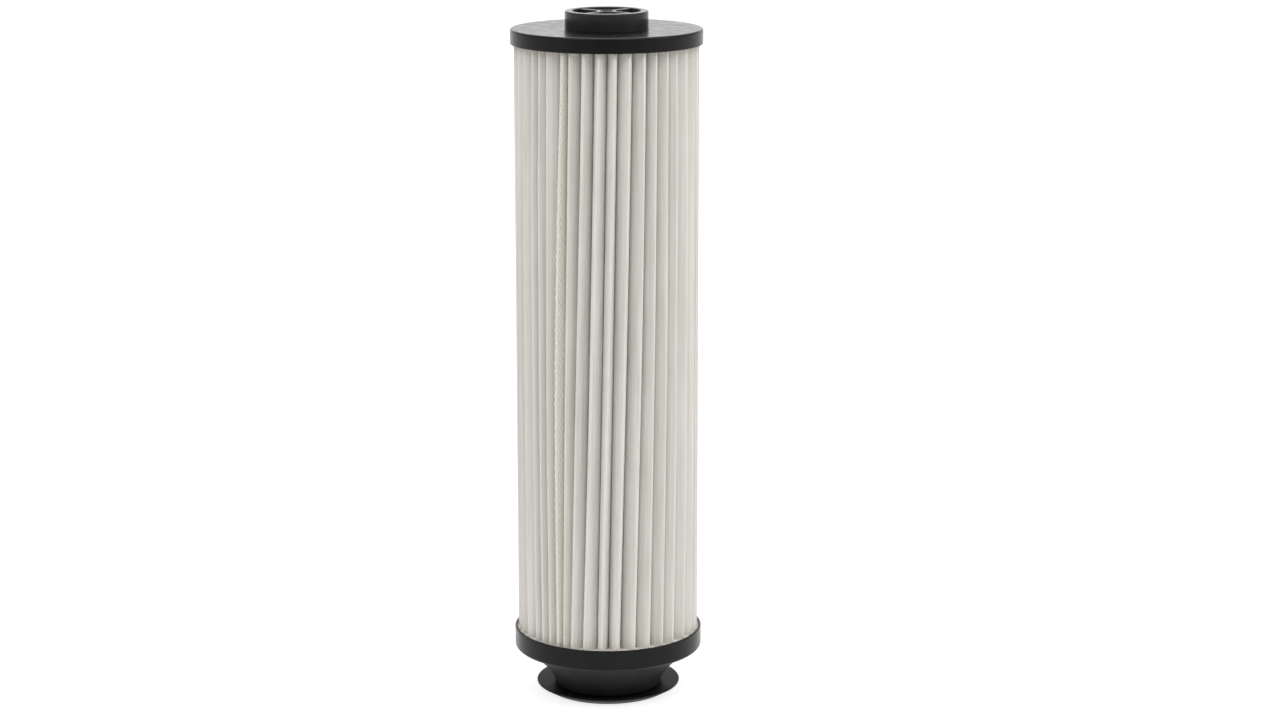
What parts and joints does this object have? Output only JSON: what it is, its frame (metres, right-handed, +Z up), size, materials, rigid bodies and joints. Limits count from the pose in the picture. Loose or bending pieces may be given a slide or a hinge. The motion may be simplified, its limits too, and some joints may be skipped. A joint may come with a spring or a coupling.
{
  "type": "pleated water filter cartridge",
  "caption": "Replaceable pleated cartridge for a pump water filter: moulded end caps, an outlet hub with a cross-shaped web on top, and a flared neck with a lip seal below.",
  "frame": {"origin": "centre of the lip seal's underside, which the cartridge stands on", "axes": "+Z up along the cartridge's axis to the outlet hub; -Y is the side seen from the front, with the pleat pack's seam left of centre; +X to the right"},
  "size_m": [0.065, 0.065, 0.237],
  "materials": {
    "cap_plastic": "semi-gloss black injection-moulded plastic with a fine moulding texture",
    "hub_plastic": "semi-gloss black injection-moulded plastic",
    "outer_media": "off-white non-woven sheet, sharply pleated",
    "filter_sheet": "white fine non-woven filtering sheet",
    "drainage_sheet": "off-white coarse non-woven sheet",
    "seam": "cream melted weld line with a dimpled surface",
    "potting": "cream cured potting adhesive",
    "core_plastic": "natural off-white moulded plastic",
    "seal_rubber": "soft black elastomer, slightly shiny"
  },
  "bodies": {
    "root": {"top_end_cap": "cap_plastic", "outlet_hub": "hub_plastic", "hub_spider": "hub_plastic", "top_potting": "potting", "outer_support_layer": "outer_media", "filter_medium": "filter_sheet", "inner_drainage_layer": "drainage_sheet", "side_seam": "seam", "core_tube": "core_plastic", "bottom_potting": "potting", "bottom_end_cap": "cap_plastic", "neck_collar": "cap_plastic", "lip_seal": "seal_rubber"}
  },
  "joints": []
}
